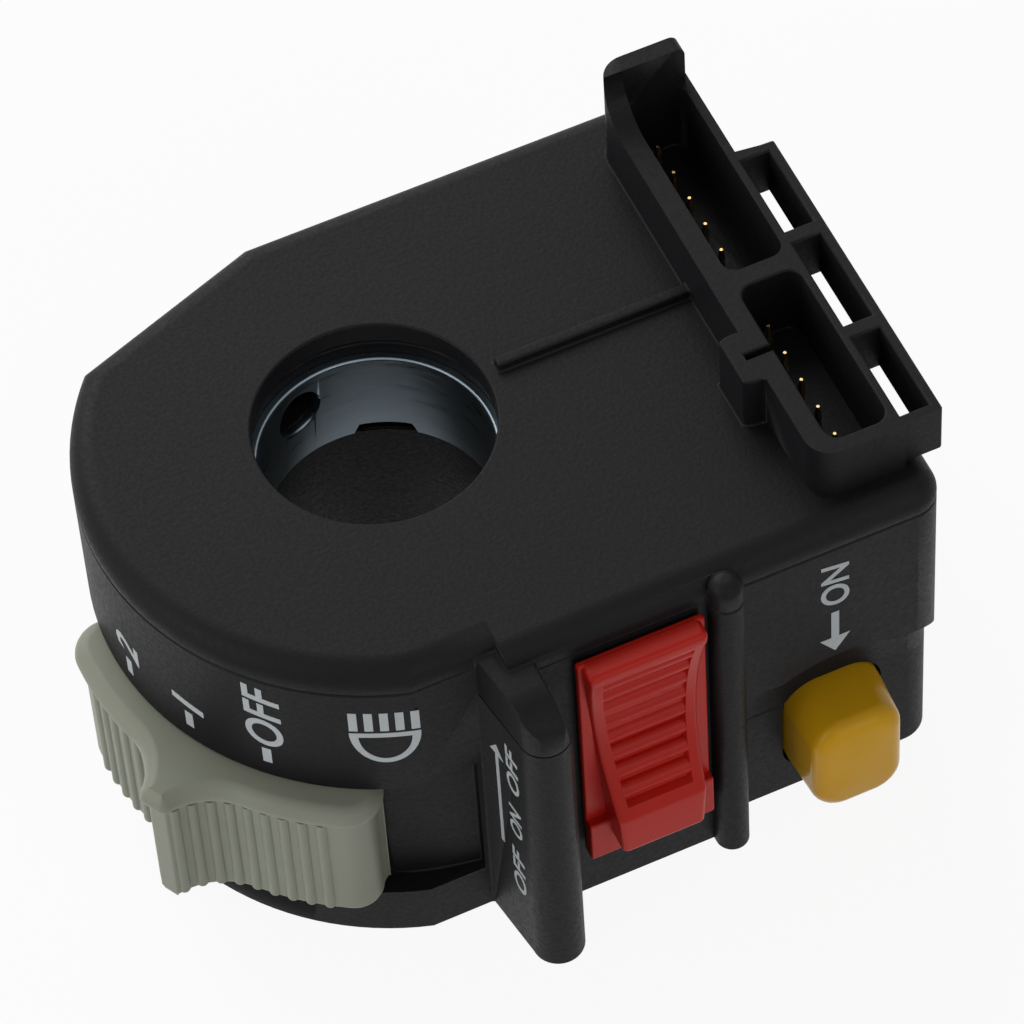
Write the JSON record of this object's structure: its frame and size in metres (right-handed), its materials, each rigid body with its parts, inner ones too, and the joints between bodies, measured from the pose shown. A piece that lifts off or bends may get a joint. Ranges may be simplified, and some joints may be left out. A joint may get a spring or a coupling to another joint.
{
  "type": "handlebar switch cluster",
  "caption": "Handlebar switch cluster: clamped housing with turning light lever, sliding stop and start switch, push button and plug shroud.",
  "frame": {"origin": "on the axis of the handlebar bore, at the grip-side face", "axes": "+Z along the bar from the grip side to the connector side, +X from the bore towards the connectors, -Y towards the rider, where the switches are"},
  "size_m": [0.0774, 0.0612, 0.0539],
  "materials": {
    "housing_plastic": "fine spark-eroded grain",
    "lever_plastic": "satin",
    "red_plastic": "satin",
    "yellow_plastic": "glossy",
    "natural_nylon": "moulded",
    "laminate": "resin laminate",
    "zinc_steel": "bright zinc plate",
    "brass_contact": "bright"
  },
  "bodies": {
    "housing": {"connector_cover": "housing_plastic", "middle_housing": "housing_plastic", "grip_side_cover": "housing_plastic", "cover_screws": "zinc_steel", "clamp_band": "zinc_steel", "clamp_screw": "zinc_steel", "clamp_nut": "zinc_steel", "circuit_board": "laminate", "large_connector_pins": "brass_contact", "small_connector_pins": "brass_contact", "light_contact_plate": "laminate", "light_contacts": "brass_contact", "stop_contact_plate": "laminate", "stop_contacts": "brass_contact", "start_spring": "zinc_steel", "start_contact_block": "natural_nylon", "start_contacts": "brass_contact", "push_spring": "zinc_steel", "push_guide": "natural_nylon", "push_contact_block": "natural_nylon", "push_contacts": "brass_contact"},
    "light_lever": {"light_lever": "lever_plastic", "light_carrier": "natural_nylon", "light_wiper": "brass_contact", "light_detent_ball": "zinc_steel", "light_detent_spring": "zinc_steel"},
    "start_carriage": {"start_carriage": "natural_nylon", "start_bridge": "brass_contact"},
    "stop_slider": {"stop_slider": "red_plastic", "stop_foot": "natural_nylon", "stop_wiper": "brass_contact", "stop_detent_ball": "zinc_steel", "stop_detent_spring": "zinc_steel"},
    "push_button": {"push_button": "yellow_plastic", "push_stem": "natural_nylon", "push_bridge": "brass_contact"}
  },
  "joints": [
    {"name": "light_turn", "type": "hinge", "parent": "housing", "child": "light_lever", "pos_m": [0, 0, 0.0153], "axis": [0, 0, 1], "range_deg": [-17, 17]},
    {"name": "start_push", "type": "slide", "parent": "housing", "child": "start_carriage", "axis": [-1, 0, 0], "range_m": [0, 0.0015], "stiffness_N_per_m": 1200, "springref_m": -0.002, "deforming": ["start_spring"]},
    {"name": "stop_slide", "type": "slide", "parent": "start_carriage", "child": "stop_slider", "axis": [0, 0, 1], "range_m": [-0.002, 0.002]},
    {"name": "push_press", "type": "slide", "parent": "housing", "child": "push_button", "axis": [0, 1, 0], "range_m": [0, 0.003], "stiffness_N_per_m": 800, "springref_m": -0.002, "deforming": ["push_spring"]}
  ]
}
